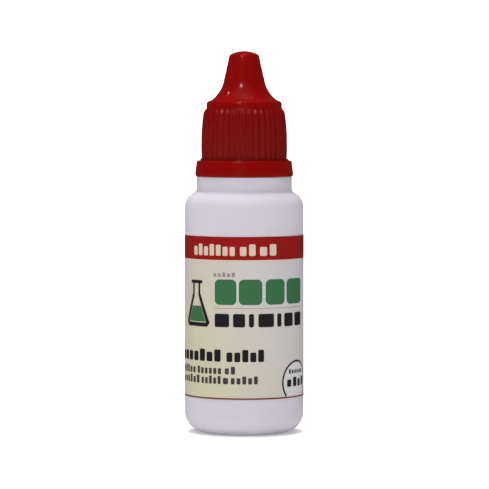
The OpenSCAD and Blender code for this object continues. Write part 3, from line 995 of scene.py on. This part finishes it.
class Artwork:
    """Flat print in millimetres, which is cut into narrow strips and wrapped round the body."""

    def __init__(self):
        self.shape = bmesh.new()

    def outline(self, *points):
        self.shape.faces.new([self.shape.verts.new((x * MM, 0.0, z * MM)) for x, z in points])

    def block(self, x0, z0, x1, z1, radius=0.0):
        radius = min(radius, (x1 - x0) / 2.01, (z1 - z0) / 2.01)
        if radius <= 0:
            self.outline((x0, z0), (x1, z0), (x1, z1), (x0, z1))
            return
        points = []
        left, right, low, high = x0 + radius, x1 - radius, z0 + radius, z1 - radius
        for x, z, start in ((right, low, -QUARTER), (right, high, 0.0), (left, high, QUARTER),
                            (left, low, math.pi)):
            points += [p[:2] for p in arc(x, z, radius, start, start + QUARTER, 5)]
        self.outline(*points)

    def row(self, base, height, fill, words):
        for start, end, blocks in words:
            step = (end - start) / (blocks - 1 + fill)
            wide = step * fill
            for i in range(blocks):
                x = start + step * i
                tall = height * RHYTHM[(i * 2 + blocks) % len(RHYTHM)]
                self.block(x, base, x + wide, base + tall, min(wide, tall) * CORNER_SHARE)

    def ring(self, x, z, outer, inner, floor):
        """A ring, or a disc if inner is 0, cut off below floor."""
        steps = 96
        angles = [math.tau * i / steps for i in range(steps)]
        out = [(x + outer * math.cos(a), max(floor, z + outer * math.sin(a))) for a in angles]
        if not inner:
            self.outline(*out)
            return
        low = math.asin(max(-1.0, (floor - z) / outer))
        ends = (low, math.pi - low)
        cuts = [ends[0] + (ends[1] - ends[0]) * i / steps for i in range(steps + 1)]
        for a, b in zip(cuts, cuts[1:]):
            self.outline(*[(x + r * math.cos(t), max(floor, z + r * math.sin(t)))
                           for r, t in ((outer, a), (outer, b), (inner, b), (inner, a))])

    def piece(self, name, material, radius, lift, thick, strip=0.45):
        """Cuts the artwork into strips, gives it its thickness and wraps it."""
        shape = self.shape
        xs = [v.co.x for v in shape.verts]
        count = math.ceil((max(xs) - min(xs)) / (strip * MM))
        for i in range(1, count):
            at = min(xs) + (max(xs) - min(xs)) * i / count
            bmesh.ops.bisect_plane(shape, geom=shape.verts[:] + shape.edges[:] + shape.faces[:],
                                   dist=TOUCH, plane_co=(at, 0.0, 0.0), plane_no=(1.0, 0.0, 0.0))
        bmesh.ops.remove_doubles(shape, verts=shape.verts, dist=WELD)
        front = bmesh.ops.extrude_face_region(shape, geom=shape.faces[:])
        verts = [v for v in front["geom"] if isinstance(v, bmesh.types.BMVert)]
        bmesh.ops.translate(shape, vec=(0.0, thick, 0.0), verts=verts)
        bmesh.ops.recalc_face_normals(shape, faces=shape.faces)
        mesh = bpy.data.meshes.new(name)
        shape.to_mesh(mesh)
        shape.free()
        rule = bpy.data.node_groups.get("Wrapped Print") or wrapped_print_rule()
        made = run_rule(new_object(name, mesh), rule, radius=radius, lift=lift, material=material)
        return close_up(made)


def label_ends(size):
    """Where the label starts and ends along the wall from the middle of its front, in mm."""
    radius = BOTTLE_HIGH.x
    end = (size.seam_angle + math.pi / 2) * radius - size.seam / 2
    start = end + size.seam - math.tau * radius
    return start / MM, end / MM


class DROPPER_OT_label(bpy.types.Operator):
    """Make the label's film, wrapped round the body"""

    bl_idname = "dropper.label"
    bl_label = "Label"

    def execute(self, context):
        size = context.scene.dropper_label
        start, end = label_ends(size)
        film = Artwork()
        rows = 10
        low, high = LABEL_LOW.z / MM, LABEL_HIGH.z / MM
        tall = high - low
        for i in range(rows):
            film.block(start, low + tall * i / rows, end, low + tall * (i + 1) / rows)
        radius = BOTTLE_HIGH.x
        piece = film.piece("label_film", label_film(size, radius), radius, 0.0, size.film, 0.4)
        settle(piece, "bottle", "label", "label")
        return {"FINISHED"}


class DROPPER_OT_print(bpy.types.Operator):
    """Print the label: a red band, blocks in place of words, a small flask and a ring"""

    bl_idname = "dropper.print"
    bl_label = "Print"

    def execute(self, context):
        size = context.scene.dropper_label
        start, end = label_ends(size)
        radius = BOTTLE_HIGH.x

        def lay(name, shade, *drawings, layer=0):
            """Prints one ink. A drawing is a way to draw and the list of what it draws."""
            artwork = Artwork()
            for way, items in drawings:
                for item in items:
                    getattr(artwork, way)(*item)
            material = ink(name.replace("_", " ").title(), shade)
            piece = artwork.piece(name, material, radius, size.film + size.ink * layer, size.ink)
            settle(piece, "bottle", "label")

        def all_round(foot, top):
            return "block", [(start, foot, end, top)]

        lay("red_band_print", size.red, all_round(RED_BAND_FOOT, LABEL_HIGH.z / MM))
        lay("lower_line_print", size.line, all_round(*LOWER_LINE))
        lay("cream_print", size.cream, ("row", [HEADING]), all_round(*CREAM_LINE), layer=1)
        lay("grey_print", size.grey, ("row", [SMALL_ROW, *SIDE_ROWS]))
        lay("green_print", size.green, ("block", BIG_BLOCKS), ("outline", [FLASK_LIQUID]))
        lay("gold_rule_print", size.gold, ("block", [GOLD_RULE]))
        lay("disc_print", size.disc, ("ring", [DISC]))
        lay("text_print", size.text, ("row", TEXT_ROWS))
        lay("dark_print", size.dark, ("block", BOLD_BLOCKS), ("row", [NAME_ROW]),
            ("outline", FLASK_STROKES), ("block", [FLASK_LIP]), ("ring", [RING]),
            ("row", RING_ROWS), layer=1)
        return {"FINISHED"}


# ---- The stage ----

MIDDLE = Vector((0.0, 0.0, 0.06))
FLOOR_FRONT, FLOOR_BACK, FLOOR_SIDE = -2.5, 0.9, 3.0
BEND, BEND_STEPS, BACKDROP_TOP = 0.8, 24, 3.0
FLOOR_GLOW = 0.22
ROOM_LIGHT = 0.03
CAMERA_ASIDE = 0.00007


def toward(turn, rise, distance):
    """A point round the cap's foot: turn from the front towards +X, and rise, in degrees."""
    turn, rise = math.radians(turn), math.radians(rise)
    flat = math.cos(rise) * distance
    place = Vector((flat * math.sin(turn), -flat * math.cos(turn), distance * math.sin(rise)))
    return place + MIDDLE


def aimed(name, data, place, aim):
    """A light or a camera at a place, looking at another."""
    made = new_object(name, data)
    made.location = place
    made.rotation_euler = (Vector(aim) - made.location).to_track_quat("-Z", "Y").to_euler()
    return made


def add_light(name, place, aim, size, power, spread, reflected):
    light = bpy.data.lights.new(name, "AREA")
    light.shape, light.size, light.energy = "DISK", size, power
    light.spread = math.radians(spread)
    aimed(name, light, place, aim).visible_glossy = reflected


class DROPPER_OT_stage(bpy.types.Operator):
    """Set the pale floor, the soft light and the camera"""

    bl_idname = "dropper.stage"
    bl_label = "Stage"

    def execute(self, context):
        size = context.scene.dropper_stage
        scene = context.scene

        path = [(FLOOR_FRONT, 0.0), (FLOOR_BACK, 0.0)]
        path += [(FLOOR_BACK + BEND * math.sin(a), BEND * (1 - math.cos(a)))
                 for a in [QUARTER * i / BEND_STEPS for i in range(1, BEND_STEPS + 1)]]
        path += [(FLOOR_BACK + BEND, BACKDROP_TOP)]
        mesh = bpy.data.meshes.new("floor")
        verts = [(x, y, z) for y, z in path for x in (-FLOOR_SIDE, FLOOR_SIDE)]
        mesh.from_pydata(verts, [], [(2 * i, 2 * i + 1, 2 * i + 3, 2 * i + 2)
                                     for i in range(len(path) - 1)])
        mesh.shade_smooth()
        finish = Finish("Pale Floor")
        grain = finish.noise(6.0, 2.0)
        mesh.materials.append(finish.done(
            Base_Color=finish.mix(grain, dimmed(size.floor, 0.985), size.floor),
            Roughness=0.65 + grain * 0.1, Emission_Color=(1.0, 1.0, 1.0, 1.0),
            Emission_Strength=FLOOR_GLOW))
        floor = new_object("floor", mesh)
        floor.visible_glossy = False

        world = bpy.data.worlds.new("Studio")
        scene.world = world
        world.use_nodes = True
        back = world.node_tree.nodes["Background"]
        back.inputs["Color"].default_value = (1.0, 1.0, 1.0, 1.0)
        back.inputs["Strength"].default_value = ROOM_LIGHT

        # Each light: its place and aim, its size, power and spread, and whether gloss shows it.
        wash, far_wash = (-0.05, 0.22, 1.5), (0.0, 0.5, 1.2)
        add_light("key", toward(-18, 42, 1.0), MIDDLE, 0.045, 1.5, 180, True)
        add_light("left", toward(-104, 50, 0.9), MIDDLE, 0.06, 0.25, 180, True)
        add_light("ceiling", toward(-4, 68, 1.3), MIDDLE, 1.7, 1.0, 180, True)
        add_light("top", toward(-4, 62, 1.2), MIDDLE, 1.0, 2.35, 180, False)
        add_light("front", toward(-7, 6, 1.2), MIDDLE, 0.5, 2.0, 180, False)
        add_light("floor_wash", wash, (-0.03, 0.48, 0.0), 1.0, 14.5, 125, False)
        add_light("backdrop_wash", far_wash, (0.0, 1.5, 0.1), 0.8, 9.0, 120, False)

        lens = bpy.data.cameras.new("camera")
        lens.sensor_width, lens.lens, lens.clip_start = 36.0, size.lens, 0.01
        scene.camera = aimed("camera", lens, (CAMERA_ASIDE, -size.distance, size.height),
                             (CAMERA_ASIDE, 0.0, size.aim))
        scene.view_settings.view_transform = "Standard"
        return {"FINISHED"}


class DROPPER_PT_maker(bpy.types.Panel):
    """Lists the pieces and their sizes"""

    bl_label = "Dropper Bottle"
    bl_idname = "DROPPER_PT_maker"
    bl_space_type = "VIEW_3D"
    bl_region_type = "UI"
    bl_category = "Dropper Bottle"

    def draw(self, context):
        for step in STEPS:
            self.layout.operator(step.bl_idname)
        for key in GROUPS:
            box = self.layout.box()
            group = getattr(context.scene, key)
            for name in group.bl_rna.properties.keys():
                if name not in ("rna_type", "name"):
                    box.prop(group, name)


GROUPS = {
    "dropper_bottle": DROPPER_PG_bottle,
    "dropper_thread": DROPPER_PG_thread,
    "dropper_dropper": DROPPER_PG_dropper,
    "dropper_cap": DROPPER_PG_cap,
    "dropper_band": DROPPER_PG_band,
    "dropper_label": DROPPER_PG_label,
    "dropper_stage": DROPPER_PG_stage,
}
STEPS = (
    DROPPER_OT_bottle, DROPPER_OT_dropper, DROPPER_OT_cap, DROPPER_OT_band, DROPPER_OT_label,
    DROPPER_OT_print, DROPPER_OT_stage,
)


def register():
    for cls in (*GROUPS.values(), *STEPS, DROPPER_PT_maker):
        bpy.utils.register_class(cls)
    for key, group in GROUPS.items():
        setattr(bpy.types.Scene, key, PointerProperty(type=group))


def unregister():
    for key in GROUPS:
        delattr(bpy.types.Scene, key)
    for cls in reversed((*GROUPS.values(), *STEPS, DROPPER_PT_maker)):
        bpy.utils.unregister_class(cls)


def main():
    register()
    bpy.ops.dropper.bottle()
    bpy.ops.dropper.dropper()
    bpy.ops.dropper.cap()
    bpy.ops.dropper.band()
    bpy.ops.dropper.label()
    bpy.ops.dropper.print()
    bpy.ops.dropper.stage()


if __name__ == "__main__":
    main()
